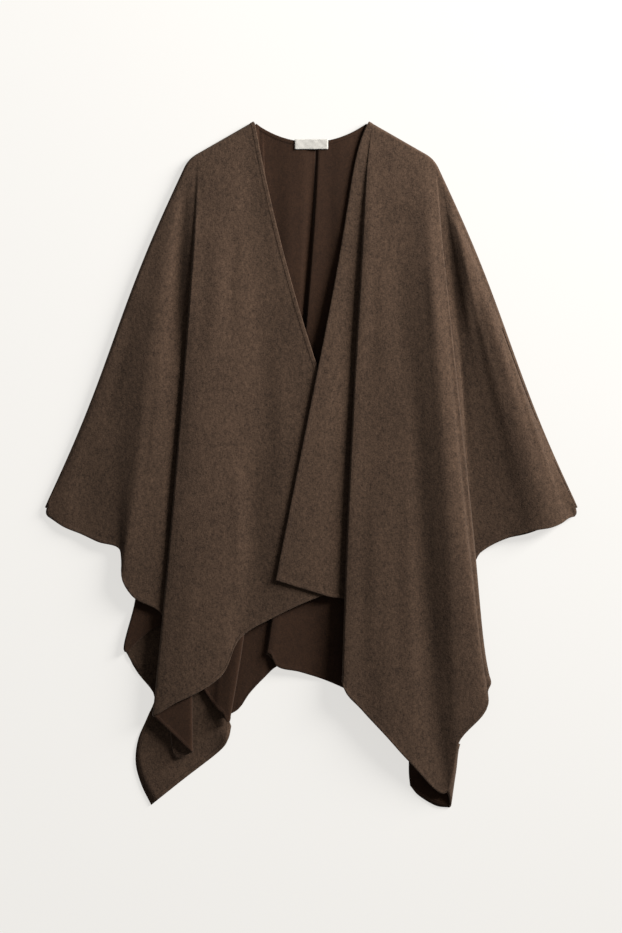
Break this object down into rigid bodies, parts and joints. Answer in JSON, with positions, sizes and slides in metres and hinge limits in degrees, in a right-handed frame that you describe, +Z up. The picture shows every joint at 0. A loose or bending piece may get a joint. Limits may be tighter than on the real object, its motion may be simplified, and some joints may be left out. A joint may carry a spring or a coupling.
{
  "type": "poncho",
  "caption": "Open-front wool cape laid flat on its back, fronts lapped over each other in long soft folds, with a shallow neck and uneven pointed hem.",
  "frame": {"origin": "on the surface the garment lies on, under the middle of its bounding box", "axes": "+X to the right as seen from above, +Y along the garment from hem to neck, +Z up from the surface"},
  "size_m": [0.8524, 1.097, 0.0449],
  "materials": {
    "melange_wool": "brushed brown melange wool, right side",
    "plain_wool": "plain brown wool, wrong side",
    "label_satin": "off-white woven satin, bare"
  },
  "bodies": {
    "root": {"back_panel": "plain_wool", "front_left": "melange_wool", "front_right": "melange_wool", "neck_label": "label_satin"}
  },
  "joints": []
}
